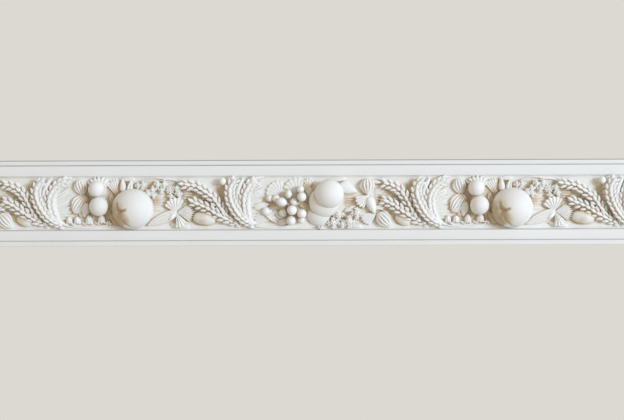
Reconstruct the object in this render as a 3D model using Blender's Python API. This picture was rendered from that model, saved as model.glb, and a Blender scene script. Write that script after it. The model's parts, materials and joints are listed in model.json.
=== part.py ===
"""A length of cast plaster frieze moulding, enriched with wheat ears, fruit, nuts and leaves.

The moulding is one casting: a run section (an outer fillet, a flat band, a sunk field, a flat band and an
outer fillet) whose field is filled with carving in high relief. It is made to be fixed flat to a wall.
+X runs along the moulding, +Z up the wall, and the front faces -Y. The origin is the centre of the back.
"""

import math

import bmesh
import bpy
from mathutils import Matrix, Vector

MM = 0.001

# Driving dimensions of the run
LENGTH = 1000 * MM  # cut square at both ends
FIELD_HEIGHT = 86 * MM
BAND_HEIGHT = 16 * MM
FILLET_HEIGHT = 9 * MM
GROUND_THICKNESS = 13 * MM  # from the wall to the sunk ground of the field
BAND_THICKNESS = 19 * MM
FILLET_THICKNESS = 15 * MM
EDGE_RADIUS = 1.2 * MM  # at the rounded outer edge of a fillet
GROOVE_WIDTH = 1.3 * MM  # the cut line between a band and its fillet
GROOVE_DEPTH = 1.7 * MM
COVE_WIDTH = 5 * MM  # the hollow between the ground and a band
QUIRK_DEPTH = 1.5 * MM  # the small step where the cove meets the band
COVE_STEPS = 3
EDGE_STEPS = 3

# The carving is set out in parts, 86 to the height of the field
PART = FIELD_HEIGHT / 86
REPEAT = 600 * MM  # the design comes round again after two sheaves
FIRST_FOOT = -398 * MM  # where the first sheaf of the orchard group stands
VINE_SETBACK = 303 * MM  # from there to the sheaf of the vine group
ROOT = 5  # how far carving is rooted in the ground, in parts
CUT_MARGIN = 40 * MM  # what is run past each end before the ends are cut square

EAR_ROWS = 4  # cells across an ear: three rows of grains and the two margins
GRAIN_PITCH = 14.2  # from one grain to the next in a row
TRAILING_WIDTHS = (4.5, 8.4)  # half widths of a trailing ear at its stalk and in its full part
TRAILING_RISE = 12

# The great fruit is a ball drawn in at its stalk hollow and along the creases that leave it
HOLLOW = Vector((-0.63, -0.18, 0.76))  # the way the hollow faces
HOLLOW_DEPTH = 0.16  # as a share of the fruit's size, as are the creases
HOLLOW_SPREAD = 0.3
CREASES = (252, 288)  # the ways they leave the hollow, in degrees
CREASE_DEPTH = 0.07
CREASE_SPREAD = 0.13
CREASE_REACH = 1.8


def new_object(name, bm, collection):
    """An object that holds this bmesh, with its faces pointing out."""
    bmesh.ops.recalc_face_normals(bm, faces=bm.faces[:])
    mesh = bpy.data.meshes.new(name)
    bm.to_mesh(mesh)
    bm.free()
    made = bpy.data.objects.new(name, mesh)
    collection.objects.link(made)
    return made


class Carving:
    """Makes the forms at one foot. u runs along the field, z up it and h out of its ground, in parts."""

    def __init__(self, foot, collection):
        self.foot = foot
        self.collection = collection

    def place(self, u, z, h):
        return Vector((self.foot + u * PART, -GROUND_THICKNESS - h * PART, z * PART))

    def keep(self, name, bm):
        for vert in bm.verts:
            vert.co = self.place(*vert.co)
        bmesh.ops.remove_doubles(bm, verts=bm.verts[:], dist=0.01 * MM)
        made = new_object(name, bm, self.collection)
        made.hide_render = True
        made.display_type = "WIRE"

    def slab(self, name, along, across, surface, split_valleys=False):
        """A closed form over the grid surface(s, t) -> (u, z, h), with s from 0 to 1 and t from -1 to 1."""
        bm = bmesh.new()
        bmesh.ops.create_grid(bm, x_segments=along, y_segments=across, size=0.5)
        low = {}
        for vert in bm.verts:
            i = round((vert.co.x + 0.5) * along)
            j = round((vert.co.y + 0.5) * across)
            low[vert] = (i + j) % 2 == 1
            vert.co = surface(i / along, 2 * j / across - 1)
        if split_valleys:
            for face in bm.faces[:]:
                bmesh.utils.face_split(face, *[v for v in face.verts if low[v]])
        grown = bmesh.ops.extrude_face_region(bm, geom=bm.faces[:])
        for item in grown["geom"]:
            if isinstance(item, bmesh.types.BMVert):
                item.co.z = -ROOT
        self.keep(name, bm)

    def lobe(self, base, angle, length, width, height, ribs=1, along=3, widest=0.42, across=4):
        """A leaf lobe, petal or pod that grows from base towards angle. Its ribs meet at the base."""
        heading = math.radians(angle)
        across = 2 * ribs if ribs > 1 else across
        skew = math.log(0.5) / math.log(widest)

        def surface(s, t):
            swell = math.sin(math.pi * s**skew) ** 0.7 if 0 < s < 1 else 0
            side = t * width / 2 * swell
            reach = length * s * (1 - 0.3 * t * t * (1 - s))
            crown = height * (1 - t * t) ** 0.5 * (0.45 + 0.55 * swell)
            ridge = 0.22 * height * swell * math.cos(math.pi * ribs * (t + 1)) if ribs > 1 else 0
            u = base[0] + reach * math.cos(heading) - side * math.sin(heading)
            z = base[1] + reach * math.sin(heading) + side * math.cos(heading)
            lift = -1.5 if abs(t) > 0.99 or s in (0, 1) else 0.8 + crown - ridge
            return u, z, lift

        self.slab("lobe", along, across, surface)

    def shell(self, base, headings, reaches, height, ribs=5, along=2):
        """A fan-shaped leaf. Its ribs leave base between two headings and end in a scalloped edge."""
        across = 2 * ribs

        def surface(s, t):
            share = (t + 1) / 2
            in_groove = round(share * across) % 2 == 0
            turn = math.radians(headings[0] + (headings[1] - headings[0]) * share)
            reach = s * (reaches[0] + (reaches[1] - reaches[0]) * share) * (0.92 if in_groove else 1.04)
            swell = math.sin(math.pi / 2 * min(1.0, 1.4 * s))
            crown = height * (0.4 + 0.6 * swell) * (1 - 0.3 * t * t)
            lift = -1.5 if abs(t) > 0.99 or s in (0, 1) else crown * (0.78 if in_groove else 1.0)
            return base[0] + reach * math.cos(turn), base[1] + reach * math.sin(turn), lift

        self.slab("shell", along, across, surface)

    def fan(self, edge, reach, angles, ribs, height):
        """Beards or reeds: ridges that leave the curve edge towards the angles at its two ends."""
        spine = smooth_line(edge)

        def surface(s, t):
            u, z, _ = point_on(spine, (t + 1) / 2)
            turn = math.radians(angles[0] + (angles[1] - angles[0]) * (t + 1) / 2)
            far = reach * s
            ridge = 0.5 + 0.5 * math.cos(math.pi * ribs * (t + 1))
            lift = -1.0 if s > 0.99 or abs(t) > 0.99 else height * (1 - 0.6 * s) * (0.35 + 0.65 * ridge)
            return u + far * math.cos(turn), z + far * math.sin(turn), lift

        self.slab("fan", 2, 2 * ribs, surface)

    def ear(self, line, widths, height):
        """An ear of wheat from its stalk to its tip, with three rows of grains that overlap like scales."""
        spine = smooth_line(line)
        total = spine[-1][2]
        stations = 2 * round(total / GRAIN_PITCH) + 1

        def surface(s, t):
            i = round(s * stations)
            j = round((t + 1) / 2 * EAR_ROWS)
            grain = (i + j) % 2 == 0
            outer = j in (0, EAR_ROWS)
            if outer and not grain and i < stations:
                s -= 1 / stations
            u, z, (du, dz) = point_on(spine, min(1.0, s + (0.4 / stations if grain and not outer else 0)))
            half = widths[0] + (widths[1] - widths[0]) * min(1.0, s / 0.45)
            half *= (1 - max(0.0, s - 0.7) ** 2 * 6) ** 0.5
            offset = t * half
            full = height * (0.6 + 0.4 * min(1.0, s / 0.4)) * (1 - 0.45 * max(0.0, s - 0.8) / 0.2)
            crown = full * (1 - 0.75 * t * t)
            lift = -0.6 if outer or i in (0, stations) else crown if grain else crown - 0.3 * height
            return u - offset * dz, z + offset * du, lift

        self.slab("ear", stations, EAR_ROWS, surface, split_valleys=True)

    def blade(self, line, width, height, along=5):
        """A long smooth leaf or sheath along line, pointed at both ends."""
        spine = smooth_line(line)

        def surface(s, t):
            u, z, (du, dz) = point_on(spine, s)
            half = width / 2 * math.sin(math.pi * (0.08 + 0.84 * s)) ** 0.6
            lift = -1.0 if abs(t) > 0.99 or s in (0, 1) else height * (1 - 0.3 * s)
            return u - t * half * dz, z + t * half * du, lift

        self.slab("blade", along, 2, surface)

    def ball(self, centre, radii, h, segments=12, rings=8, turn=0.0, shape=None):
        """A round fruit whose widest section stands at h and goes straight down from there into the ground.

        It is hollowed where a shape is given. Nothing overhangs, so no cut across it frees a piece.
        """
        bm = bmesh.new()
        bmesh.ops.create_uvsphere(bm, u_segments=segments, v_segments=rings, radius=1)
        spin = Matrix.Rotation(math.radians(turn), 4, "Z") @ Matrix.Diagonal((*radii, 1))
        for vert in bm.verts:
            if shape:
                vert.co *= shape(vert.co)
                vert.co.rotate(Vector((0, 0, 1)).rotation_difference(HOLLOW))
            vert.co = spin @ vert.co
        bmesh.ops.bisect_plane(
            bm, geom=bm.verts[:] + bm.edges[:] + bm.faces[:], plane_no=(0, 0, 1), dist=1e-4, clear_inner=True
        )
        bmesh.ops.translate(bm, verts=bm.verts[:], vec=(*centre, h))
        rim = [edge for edge in bm.edges if edge.is_boundary]
        grown = bmesh.ops.extrude_edge_only(bm, edges=rim)
        for item in grown["geom"]:
            if isinstance(item, bmesh.types.BMVert):
                item.co.z = -ROOT
        bmesh.ops.holes_fill(bm, edges=[edge for edge in bm.edges if edge.is_boundary])
        self.keep("ball", bm)

    def floret(self, centre, radius, h):
        """A small knobbly flower head."""
        self.ball(centre, (radius, radius, radius), h, 6, 4)


def smooth_line(points, steps=6):
    """The smooth curve through the points, as (u, z, distance along it)."""
    ends = [2 * Vector(points[0]) - Vector(points[1])]
    knots = ends + [Vector(p) for p in points] + [2 * Vector(points[-1]) - Vector(points[-2])]
    line = []
    for k in range(1, len(knots) - 2):
        before, start, end, after = knots[k - 1 : k + 3]
        for step in range(steps + (k == len(knots) - 3)):
            f = step / steps
            at = start * 2 + (end - before) * f
            at += (before * 2 - start * 5 + end * 4 - after) * f**2
            at += (start * 3 - before - end * 3 + after) * f**3
            at /= 2
            distance = line[-1][2] + math.dist(at, line[-1][:2]) if line else 0.0
            line.append((at.x, at.y, distance))
    return line


def point_on(line, share):
    """(u, z, heading) at this share of the line's length."""
    target = share * line[-1][2]
    k = next(k for k in range(1, len(line)) if line[k][2] >= target - 1e-9)
    a, b = line[k - 1], line[k]
    f = (target - a[2]) / (b[2] - a[2])
    step = Vector((b[0] - a[0], b[1] - a[1])).normalized()
    return a[0] + (b[0] - a[0]) * f, a[1] + (b[1] - a[1]) * f, step


def great_fruit(at):
    """How far a unit ball is drawn in there. The hollow is at its pole, the creases on its meridians."""
    away = math.acos(max(-1.0, min(1.0, at.z)))
    heading = math.degrees(math.atan2(at.y, at.x))
    nearest = min(abs((heading - crease + 180) % 360 - 180) for crease in CREASES)
    across = math.radians(nearest) * math.sin(away)
    crease = math.exp(-((across / CREASE_SPREAD) ** 2)) * max(0.0, 1 - (away / CREASE_REACH) ** 4)
    return 1 - HOLLOW_DEPTH * math.exp(-((away / HOLLOW_SPREAD) ** 2)) - CREASE_DEPTH * crease


def sheaf(carve, outer, inner, sheath):
    """Two ears that curl up from the foot, with a smooth sheath between them and beards beside them."""
    carve.ear(outer, (4.5, 8.8), 20)
    carve.ear(inner, (4.5, 8.4), 16)
    carve.blade(sheath, 15, 14)
    carve.fan(inner[1:-1], 38, (-16, 44), 6, 5)


def orchard_group(carve):
    """A sheaf, a ribbed leaf, two plums, the great fruit, a hop leaf, a cobnut and two trailing ears."""
    sheaf(
        carve,
        [(5, -37), (-12, -28), (-24, -15.5), (-32.5, -1), (-37, 14.5), (-35, 27), (-25, 38)],
        [(4, -36), (-7, -27), (-14, -15), (-16.8, -3), (-16, 9), (-11, 20), (-2, 30), (10, 37)],
        [(-8, -30), (-20, -14), (-25, 4), (-25, 20), (-15, 40)],
    )
    carve.shell((60, 14), (138, 42), (28, 27), 6)
    carve.lobe((36, 11), 106, 29, 24, 8, ribs=4, widest=0.6)
    carve.lobe((41, 14), 236, 37, 30, 9, ribs=5, widest=0.55)
    carve.lobe((43, 2), 256, 26, 17, 8)
    carve.ball((57.5, 22), (13, 13, 13), 10, 10, 5)
    carve.ball((62, -5), (15, 15, 15), 14, 11, 6)
    for u, z, width, height in (
        (13.5, -27, 6, 6),
        (26, -27, 6.5, 6.5),
        (44.5, -26, 6.5, 8.5),
        (64.5, -25, 7.5, 8),
    ):
        carve.ball((u, z), (width, height, 6), 3, 7, 6)
    carve.ball((114.5, -9), (33, 32, 30), 6, 20, 12, shape=great_fruit)
    carve.shell((93, 4), (126, 84), (33, 34), 4)
    carve.lobe((100, 14), 96, 25, 13, 8)
    carve.lobe((107, 12), 78, 26, 12, 9)
    for u, z, radius in (
        (127, 28.5, 7),
        (139, 15, 6),
        (147, 20, 6),
        (157, 28.5, 7.5),
        (173.5, 21, 7.5),
        (186, 22, 6.5),
        (187, 12, 5.5),
    ):
        carve.floret((u, z), radius, 3)
    hub = (183, -15)
    carve.shell(hub, (158, 58), (22, 24), 8, along=3)
    carve.shell(hub, (322, 268), (21, 25), 9, ribs=4, along=3)
    carve.lobe((181, -16), 231, 17, 10, 8, across=2)
    carve.lobe((186, -14), 203, 56, 19, 7, ribs=3)
    carve.shell(hub, (36, -36), (25, 28), 6.5)
    carve.ball((228, -24), (20, 11.5, 10), 1, 12, 6, -4)
    carve.ear(
        [(285, -35), (267, -22), (256, -11), (248, 0), (240, 10), (229, 18), (216, 26), (201, 29), (185, 31)],
        TRAILING_WIDTHS,
        TRAILING_RISE,
    )
    carve.ear(
        [(285, -36), (270, -29), (256, -22), (243, -15), (230, -7), (216, -1), (203, 6)],
        TRAILING_WIDTHS,
        TRAILING_RISE,
    )


def vine_group(carve):
    """A sheaf, vine leaves, a bunch of grapes, three apples, florets, ribbed pods and two trailing ears."""
    sheaf(
        carve,
        [(3, -36), (-12, -27.5), (-23, -15), (-31, -0.5), (-34.5, 13), (-33, 26), (-25, 38)],
        [(4, -36), (-7, -27), (-11, -15), (-12.5, -3), (-12, 9), (-8, 20), (-2, 30), (8, 37.5)],
        [(-9, -28), (-17, -13), (-22, 4), (-22, 20), (-13, 40)],
    )
    carve.ball((-46, 34), (5.5, 6, 5), 9, 8, 6)
    carve.shell((2, -36), (74, 16), (32, 40), 4.5, ribs=3)
    carve.lobe((2, -8), 14, 28, 14, 5)
    carve.shell((47, 12), (196, 86), (26, 24), 4.5)
    carve.shell((72, 14), (160, 42), (26, 24), 4.5)
    carve.blade([(50, 2), (60, -3), (70, -2), (78, 2)], 9, 9, along=4)
    for u, z, across, high, h in (
        (47, 1, 8.7, 7, 15),
        (38, 7, 6.2, 5.6, 8),
        (58, 13.5, 5.3, 6.6, 11),
        (79, 9, 7.2, 7.6, 16),
        (77, 21, 6, 6, 9),
        (63.5, -12, 7.8, 7.8, 18),
        (79, -17.5, 7.4, 7.4, 15),
        (62, -28.5, 7.3, 7.7, 13),
        (78, -27.5, 5.4, 5.4, 7),
        (28, 7, 6.2, 5.6, 4),
        (22, -13.5, 7, 7, 5),
        (49, -16, 6.4, 6.4, 7),
        (66, 1, 6, 6, 9),
    ):
        carve.ball((u, z), (across, high, high), h, 6, 6)
    carve.shell((90, 22), (128, 58), (16, 16), 5, ribs=3)
    carve.ball((107, -18), (21, 21, 15), -3, 13, 6)
    carve.ball((114.5, 1), (24.5, 24.5, 15), 7, 14, 6)
    carve.ball((122, 13.5), (23, 22.5, 19), 17, 15, 7)
    carve.lobe((135, 27), -17, 34, 21, 8)
    for u, z, radius in ((136.5, -20, 8), (128.5, -32, 8), (153.5, -30, 8.5), (166, -17, 8), (143, -34, 6)):
        carve.floret((u, z), radius, 4)
    carve.lobe((183.5, 10), 93, 29, 26, 10, ribs=5, widest=0.64)
    carve.shell((186, 12), (184, 250), (24, 24), 9, ribs=4, along=3)
    carve.lobe((184, 10), 290, 31, 18, 10)
    carve.shell((199, -17), (178, 236), (29, 24), 6, ribs=4)
    carve.lobe((199, -16), -47, 31, 26, 9, ribs=5)
    carve.ball((240, -26.5), (14.5, 10, 8), 1, 10, 6, -28)
    carve.ear(
        [(280, -37), (264, -27), (256, -16), (249, -4), (243, 7), (237, 16), (228, 24), (216, 29), (205, 31)],
        TRAILING_WIDTHS,
        TRAILING_RISE,
    )
    carve.ear(
        [(279, -37), (273, -32), (258, -27), (246, -19), (235, -12), (224, -4), (212, 2), (202, 5)],
        TRAILING_WIDTHS,
        TRAILING_RISE,
    )


def section():
    """The run's outline as (thickness, height above the centre line), from its top edge at the back down."""
    field = FIELD_HEIGHT / 2
    band = field + BAND_HEIGHT
    top = band + FILLET_HEIGHT
    half = []
    for step in range(EDGE_STEPS + 1):
        turn = math.pi / 2 * step / EDGE_STEPS
        thick = FILLET_THICKNESS - EDGE_RADIUS * (1 - math.sin(turn))
        half.append((thick, top - EDGE_RADIUS * (1 - math.cos(turn))))
    floor = FILLET_THICKNESS - GROOVE_DEPTH
    half += [(FILLET_THICKNESS, band + GROOVE_WIDTH), (floor, band + GROOVE_WIDTH), (floor, band)]
    half += [(BAND_THICKNESS, band), (BAND_THICKNESS, field)]
    drop = BAND_THICKNESS - QUIRK_DEPTH - GROUND_THICKNESS
    for step in range(COVE_STEPS + 1):
        turn = math.pi / 2 * step / COVE_STEPS
        thick = GROUND_THICKNESS + drop * (1 - math.sin(turn))
        half.append((thick, field - COVE_WIDTH * (1 - math.cos(turn))))
    back = -CUT_MARGIN
    lower = [(thick, -height) for thick, height in reversed(half)]
    return [(back, top), *half, *lower, (back, -top)]


def run_of_moulding(collection):
    """The plain run, longer and deeper than the piece, so that one cut squares both ends and the back."""
    bm = bmesh.new()
    start = -LENGTH / 2 - CUT_MARGIN
    verts = [bm.verts.new((start, -thick, height)) for thick, height in section()]
    face = bm.faces.new(verts)
    grown = bmesh.ops.extrude_face_region(bm, geom=[face])
    moved = [item for item in grown["geom"] if isinstance(item, bmesh.types.BMVert)]
    bmesh.ops.translate(bm, verts=moved, vec=(LENGTH + 2 * CUT_MARGIN, 0, 0))
    return new_object("frieze_moulding", bm, collection)


def cutting_box(collection):
    """All that is kept: the stated length, from the flat back forwards."""
    reach = FIELD_HEIGHT + BAND_HEIGHT + FILLET_HEIGHT + CUT_MARGIN
    bm = bmesh.new()
    shape = Matrix.Translation((0, -reach / 2, 0)) @ Matrix.Diagonal((LENGTH, reach, 2 * reach, 1))
    bmesh.ops.create_cube(bm, size=1, matrix=shape)
    box = new_object("cut_square", bm, collection)
    box.hide_render = True
    box.display_type = "WIRE"
    return box


def painted_plaster():
    material = bpy.data.materials.new("painted_plaster")
    material.use_nodes = True
    shader = material.node_tree.nodes["Principled BSDF"]
    shader.inputs["Base Color"].default_value = (0.76, 0.76, 0.73, 1)
    shader.inputs["Roughness"].default_value = 0.6
    shader.inputs["Metallic"].default_value = 0.0
    return material


def main():
    for old in list(bpy.data.objects):
        bpy.data.objects.remove(old)
    scene = bpy.context.scene.collection
    carved = bpy.data.collections.new("carving")
    scene.children.link(carved)
    reach = REPEAT / 2
    for turn in range(-math.ceil(LENGTH / REPEAT) - 1, math.ceil(LENGTH / REPEAT) + 1):
        for setback, group in ((0, orchard_group), (VINE_SETBACK, vine_group)):
            foot = FIRST_FOOT + turn * REPEAT + setback
            if -LENGTH / 2 - reach < foot < LENGTH / 2 + reach / 2:
                group(Carving(foot, carved))
    moulding = run_of_moulding(scene)
    moulding.data.materials.append(painted_plaster())
    union = moulding.modifiers.new("carving", "BOOLEAN")
    union.operation = "UNION"
    union.solver = "MANIFOLD"
    union.operand_type = "COLLECTION"
    union.collection = carved
    cut = moulding.modifiers.new("cut_square", "BOOLEAN")
    cut.operation = "INTERSECT"
    cut.solver = "MANIFOLD"
    cut.object = cutting_box(scene)


main()
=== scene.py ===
import json
import math
import random

import bmesh
import bpy
import numpy as np
from mathutils import Matrix, Vector
from mathutils.bvhtree import BVHTree

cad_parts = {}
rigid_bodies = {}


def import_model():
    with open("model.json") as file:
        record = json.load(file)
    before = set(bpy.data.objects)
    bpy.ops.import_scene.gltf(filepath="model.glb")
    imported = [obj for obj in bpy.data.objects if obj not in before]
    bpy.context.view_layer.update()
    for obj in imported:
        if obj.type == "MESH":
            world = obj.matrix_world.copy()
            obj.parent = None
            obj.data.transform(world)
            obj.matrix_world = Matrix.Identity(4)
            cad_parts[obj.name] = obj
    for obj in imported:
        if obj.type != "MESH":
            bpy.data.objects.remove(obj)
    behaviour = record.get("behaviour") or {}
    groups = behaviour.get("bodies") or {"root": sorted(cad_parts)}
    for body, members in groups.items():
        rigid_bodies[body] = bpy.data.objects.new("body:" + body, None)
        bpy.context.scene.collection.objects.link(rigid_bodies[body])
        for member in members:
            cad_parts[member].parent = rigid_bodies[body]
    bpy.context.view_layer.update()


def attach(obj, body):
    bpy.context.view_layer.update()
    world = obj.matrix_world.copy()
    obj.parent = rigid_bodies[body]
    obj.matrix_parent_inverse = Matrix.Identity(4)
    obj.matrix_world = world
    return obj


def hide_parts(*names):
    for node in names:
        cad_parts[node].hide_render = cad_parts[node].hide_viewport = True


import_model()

MM = 0.001

# The run
#
# The plain run of the moulding is cast gypsum plaster. Its mould's model was drawn with a steel template: an
# outer fillet, a flat band and a coved, sunk field, the same above and below. It is a metre long here, cut
# square at both ends, with a flat back that is bedded on the wall.

LENGTH = 1000 * MM
FIELD_HEIGHT = 86 * MM
BAND_HEIGHT = 16 * MM
FILLET_HEIGHT = 9 * MM
GROUND_THICKNESS = 13 * MM
BAND_THICKNESS = 19 * MM
FILLET_THICKNESS = 15 * MM
EDGE_RADIUS = 1.2 * MM
COVE_WIDTH = 5 * MM
QUIRK_DEPTH = 1.5 * MM
QUIRK_WIDTH = 0.7 * MM
GROOVE_WIDTH = 1.3 * MM  # the cut line between a band and its fillet
GROOVE_DEPTH = 1.7 * MM
ARRIS = 0.5 * MM  # how far the paint rounds an edge
CUT_MARGIN = 30 * MM
GROUND_CELL = 4.4 * MM  # the ground is divided, so that it can hold the painted shade of its corners
UNEVENNESS = 0.15 * MM  # of the ground, as a gouge leaves it
COVE_UNEVENNESS = 0.3  # how much of that the coves have
NIL = 1e-6  # a length that counts as none


def arc(centre, radii, start, end, steps):
    """Points on an ellipse's arc as (thickness, height)."""
    turns = [math.radians(start + (end - start) * step / steps) for step in range(steps + 1)]
    return [(centre[0] + radii[0] * math.sin(turn), centre[1] + radii[1] * math.cos(turn)) for turn in turns]


def half_outline():
    """The upper half of the run's outline as (thickness, height), from its top edge to the ground."""
    field = FIELD_HEIGHT / 2
    band = field + BAND_HEIGHT
    top = band + FILLET_HEIGHT
    line = arc((FILLET_THICKNESS - EDGE_RADIUS, top - EDGE_RADIUS), (EDGE_RADIUS, EDGE_RADIUS), 0, 90, 6)
    line += [(FILLET_THICKNESS, band + GROOVE_WIDTH)]
    floor = FILLET_THICKNESS - GROOVE_DEPTH
    line += [(floor, band + GROOVE_WIDTH), (floor, band)]
    line += arc((BAND_THICKNESS - ARRIS, band - ARRIS), (ARRIS, ARRIS), 0, 90, 3)
    line += arc((BAND_THICKNESS - ARRIS, field + ARRIS), (ARRIS, ARRIS), 90, 180, 3)
    line += [(BAND_THICKNESS - QUIRK_DEPTH, field)]
    drop = BAND_THICKNESS - QUIRK_DEPTH - GROUND_THICKNESS
    hollow = arc(
        (GROUND_THICKNESS + drop, field - QUIRK_WIDTH - COVE_WIDTH), (-drop, COVE_WIDTH), 0, 90, 6
    )
    return line + hollow


def run_of_moulding():
    """The plain run, longer and deeper than the piece, so that one cut squares its ends and its back."""
    half = half_outline()
    top = half[0][1]
    lower = [(thick, -high) for thick, high in reversed(half)]
    outline = [(-CUT_MARGIN, top), *half, *lower, (-CUT_MARGIN, -top)]
    bm = bmesh.new()
    start = -LENGTH / 2 - CUT_MARGIN
    face = bm.faces.new([bm.verts.new((start, -thick, high)) for thick, high in outline])
    grown = bmesh.ops.extrude_face_region(bm, geom=[face])
    far = [item for item in grown["geom"] if isinstance(item, bmesh.types.BMVert)]
    bmesh.ops.translate(bm, verts=far, vec=(LENGTH + 2 * CUT_MARGIN, 0, 0))
    bmesh.ops.recalc_face_normals(bm, faces=bm.faces[:])
    inner = FIELD_HEIGHT / 2 + NIL
    ground = [f for f in bm.faces if f.normal.y < -0.05 and abs(f.calc_center_median().z) < inner]
    long_edges = {e for f in ground for e in f.edges if e.calc_length() > LENGTH}
    cells = round(LENGTH / GROUND_CELL)
    bmesh.ops.subdivide_edges(bm, edges=list(long_edges), cuts=cells, use_grid_fill=True)
    flat = inner - COVE_WIDTH - QUIRK_WIDTH
    rungs = [
        e
        for e in bm.edges
        if abs(e.verts[0].co.x - e.verts[1].co.x) < NIL
        and abs(e.verts[0].co.z + e.verts[1].co.z) < NIL
        and abs(e.verts[0].co.y + GROUND_THICKNESS) < NIL
    ]
    cells = round(FIELD_HEIGHT / GROUND_CELL)
    bmesh.ops.subdivide_edges(bm, edges=rungs, cuts=cells, use_grid_fill=True)
    hand = random.Random(3)
    for vert in bm.verts:
        if -BAND_THICKNESS + QUIRK_DEPTH + NIL < vert.co.y < 0 and abs(vert.co.z) < inner:
            vert.co.y -= UNEVENNESS * hand.random() * (1 if abs(vert.co.z) < flat else COVE_UNEVENNESS)
    mesh = bpy.data.meshes.new("run")
    bm.to_mesh(mesh)
    bm.free()
    made = bpy.data.objects.new("run", mesh)
    bpy.context.scene.collection.objects.link(made)
    return made


run = run_of_moulding()

# Wheat ears
#
# Each sheaf has two short ears that curl up from its foot and two long ones that trail to its left. They
# are carved as rows of plump grains that overlap like scales round a stalk, with beards at the tip, and are
# cast in one with the run.

REPEAT = 600
FIRST_FOOT = -398
VINE_SETBACK = 303
ROOT = 5  # how far carving is rooted in the ground
RIM = -1.5  # where the rim of a form lies, just under the ground
LOW_RIM = -1.0  # the same for thin forms
EDGE = 0.99  # past this share of its length or half width, a point is on a form's rim

carving = bpy.data.collections.new("carving")
bpy.context.scene.collection.children.link(carving)
rng = random.Random(11)


class Group:
    """Forms carved round one foot, in millimetres: u along the run, z up it and h out of its ground."""

    def __init__(self):
        self.forms = []

    def add(self, mesh, matrix=Matrix()):
        self.forms.append((mesh, matrix))

    def keep(self, name, bm):
        bmesh.ops.remove_doubles(bm, verts=bm.verts[:], dist=1e-4)
        bmesh.ops.recalc_face_normals(bm, faces=bm.faces[:])
        mesh = bpy.data.meshes.new(name)
        bm.to_mesh(mesh)
        bm.free()
        self.add(mesh)

    def cast_at(self, foot):
        """Puts the group's forms on the ground of the run, with the foot at this distance along it."""
        seat = Matrix.Translation((foot * MM, -GROUND_THICKNESS, 0)) @ Matrix.Rotation(math.pi / 2, 4, "X")
        seat = seat @ Matrix.Scale(MM, 4)
        for mesh, matrix in self.forms:
            made = bpy.data.objects.new(mesh.name, mesh)
            made.matrix_world = seat @ matrix
            carving.objects.link(made)

    def slab(self, name, along, across, surface):
        """A closed form over the grid surface(s, t) -> (u, z, h), with s from 0 to 1 and t from -1 to 1."""
        bm = bmesh.new()
        bmesh.ops.create_grid(bm, x_segments=along, y_segments=across, size=0.5)
        for vert in bm.verts:
            s = round((vert.co.x + 0.5) * along) / along
            t = 2 * round((vert.co.y + 0.5) * across) / across - 1
            vert.co = surface(s, t)
        grown = bmesh.ops.extrude_face_region(bm, geom=bm.faces[:])
        for item in grown["geom"]:
            if isinstance(item, bmesh.types.BMVert):
                item.co.z = -ROOT
        self.keep(name, bm)


def at_rim(s, t):
    """Whether the grid point is on the rim of its form."""
    return abs(t) > EDGE or s in (0, 1)


def smooth_line(points, steps=8):
    """The smooth curve through the points, as (u, z, distance along it)."""
    knots = [2 * Vector(points[0]) - Vector(points[1])]
    knots += [Vector(p) for p in points] + [2 * Vector(points[-1]) - Vector(points[-2])]
    line = []
    for k in range(1, len(knots) - 2):
        before, start, end, after = knots[k - 1 : k + 3]
        for step in range(steps + (k == len(knots) - 3)):
            f = step / steps
            at = start * 2 + (end - before) * f
            at += (before * 2 - start * 5 + end * 4 - after) * f**2
            at += (start * 3 - before - end * 3 + after) * f**3
            at /= 2
            distance = line[-1][2] + math.dist(at, line[-1][:2]) if line else 0.0
            line.append((at.x, at.y, distance))
    return line


def point_on(line, share):
    """(u, z, heading) at this share of the line's length."""
    target = min(max(share, 0.0), 1.0) * line[-1][2]
    k = next(k for k in range(1, len(line)) if line[k][2] >= target - 1e-9)
    a, b = line[k - 1], line[k]
    f = (target - a[2]) / (b[2] - a[2])
    step = Vector((b[0] - a[0], b[1] - a[1])).normalized()
    return a[0] + (b[0] - a[0]) * f, a[1] + (b[1] - a[1]) * f, step


def grain_mesh(segments, rings):
    """One grain, a unit long each way from its middle along X, plump at its foot and pointed at its tip."""
    bm = bmesh.new()
    bmesh.ops.create_uvsphere(bm, u_segments=segments, v_segments=rings, radius=1)
    bmesh.ops.rotate(bm, verts=bm.verts[:], matrix=Matrix.Rotation(math.pi / 2, 3, "Y"))
    for vert in bm.verts:
        taper = 1 - 0.34 * vert.co.x - 0.12 * vert.co.x**2
        vert.co.y *= taper
        vert.co.z *= taper
    mesh = bpy.data.meshes.new("grain")
    bm.to_mesh(mesh)
    bm.free()
    return mesh


GRAIN = grain_mesh(6, 6)
PETAL = grain_mesh(5, 3)


def set_along(u, z, h, heading, tilt, sizes):
    """Lays a form that points along X at (u, z, h), turned in the field and tilted out of it."""
    turn = Matrix.Rotation(heading, 4, "Z") @ Matrix.Rotation(-tilt, 4, "Y")
    return Matrix.Translation((u, z, h)) @ turn @ Matrix.Diagonal((*sizes, 1))


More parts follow.
